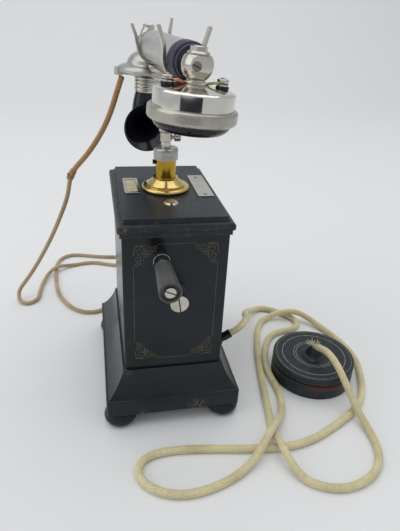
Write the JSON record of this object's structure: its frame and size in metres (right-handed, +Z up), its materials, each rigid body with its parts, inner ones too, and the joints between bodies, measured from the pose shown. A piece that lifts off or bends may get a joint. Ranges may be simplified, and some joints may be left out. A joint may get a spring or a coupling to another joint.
{
  "type": "magneto desk telephone",
  "caption": "Antique desk telephone: black lacquered tower on a flared plinth, side-sprung cradle on a brass column, handset with a horn, hand crank, braided cords and a wall rosette.",
  "frame": {"origin": "on the floor, at the middle of the four foot screw holes, under the tower's centre", "axes": "+Z up along the tower; the crank faces -Y; +X is the side that the line cord leaves"},
  "size_m": [0.408, 0.4781, 0.3551],
  "materials": {
    "black_lacquer": "black lacquer on wood, worn grey and brown at the edges",
    "nickel": "polished nickel plate with light haze",
    "satin_nickel": "satin nickel plate",
    "brass": "polished brass",
    "ebonite": "polished black hard rubber",
    "grip_rubber": "mottled dark hard rubber, satin",
    "ribbed_rubber": "turned blue-black hard rubber",
    "card": "aged ivory card",
    "steel": "machined steel",
    "magnet_steel": "brown lacquered magnet steel",
    "winding": "cotton covered windings",
    "tin": "tinned sheet",
    "line_braid": "braided khaki cotton",
    "handset_braid": "braided tan cotton"
  },
  "bodies": {
    "case": {"base_plate": "black_lacquer", "base_plinth": "black_lacquer", "feet": "black_lacquer", "case_body": "black_lacquer", "top_lid": "black_lacquer", "lid_screws": "nickel", "label_frame": "nickel", "label_card": "card", "name_plate": "nickel", "column_flange": "brass", "column_tube": "brass", "column_collar": "nickel", "set_screw": "ebonite", "line_cord_gland": "ebonite", "handset_cord_gland": "ebonite", "crank_bushing": "ebonite", "magneto_plates": "steel", "magnets": "magnet_steel", "pole_pieces": "steel", "bell_gongs": "nickel", "ringer_frame": "steel", "ringer_coils": "winding", "hook_switch": "brass", "induction_coil": "winding", "condenser": "tin", "terminal_strip": "ebonite", "plunger_spring": "steel", "rosette_base": "black_lacquer", "rosette_lid": "black_lacquer", "handset_cord": "handset_braid", "line_cord": "line_braid"},
    "crank": {"crank_shaft": "nickel", "drive_gear": "brass", "crank_arm": "nickel", "crank_screws": "nickel"},
    "grip": {"crank_grip": "grip_rubber"},
    "armature": {"armature": "steel", "pinion": "brass"},
    "clapper": {"clapper": "steel"},
    "hook_lever": {"hook_lever": "steel"},
    "cradle": {"plunger_rod": "nickel", "cradle_hub": "nickel", "front_fork": "nickel", "rear_fork": "nickel", "thumb_screw": "nickel"},
    "handset": {"handle_sleeve": "satin_nickel", "handle_grip": "ribbed_rubber", "front_knuckle": "nickel", "rear_knuckle": "nickel", "knuckle_fasteners": "nickel", "receiver_case": "satin_nickel", "receiver_ring": "satin_nickel", "ear_cap": "ebonite", "diaphragm": "steel", "receiver_magnet": "magnet_steel", "receiver_terminals": "nickel", "transmitter_cap": "satin_nickel", "transmitter_neck": "nickel", "mouthpiece_horn": "ebonite", "carbon_capsule": "brass"}
  },
  "joints": [
    {"name": "crank_turn", "type": "hinge", "parent": "case", "child": "crank", "pos_m": [0, -0.07, 0.1445], "axis": [0, 1, 0], "continuous": true},
    {"name": "grip_spin", "type": "hinge", "parent": "crank", "child": "grip", "pos_m": [-0.01523, -0.097, 0.18439], "axis": [0, 1, 0], "continuous": true},
    {"name": "armature_spin", "type": "hinge", "parent": "case", "child": "armature", "pos_m": [0, -0.03, 0.106], "axis": [0, 1, 0], "continuous": true},
    {"name": "handset_lift", "type": "slide", "parent": "case", "child": "handset", "axis": [0, 0, 1], "range_m": [0, 0.12]},
    {"name": "cradle_lift", "type": "slide", "parent": "case", "child": "cradle", "axis": [0, 0, 1], "range_m": [0, 0.006], "deforming": ["plunger_spring"]},
    {"name": "hook_lever_tip", "type": "hinge", "parent": "case", "child": "hook_lever", "pos_m": [0, 0.03, 0.163], "axis": [1, 0, 0], "range_deg": [-16, 0]},
    {"name": "clapper_swing", "type": "hinge", "parent": "case", "child": "clapper", "pos_m": [0, -0.0085, 0.034], "axis": [0, 0, 1], "range_deg": [-2.5, 2.5], "stiffness_Nm_per_rad": 0.01}
  ],
  "couplings": [
    {"joint": "armature_spin", "follows": "crank_turn", "ratio": -4},
    {"joint": "cradle_lift", "follows": "handset_lift", "ratio": 0.05},
    {"joint": "hook_lever_tip", "follows": "handset_lift", "rad_per_m": -2.2}
  ]
}
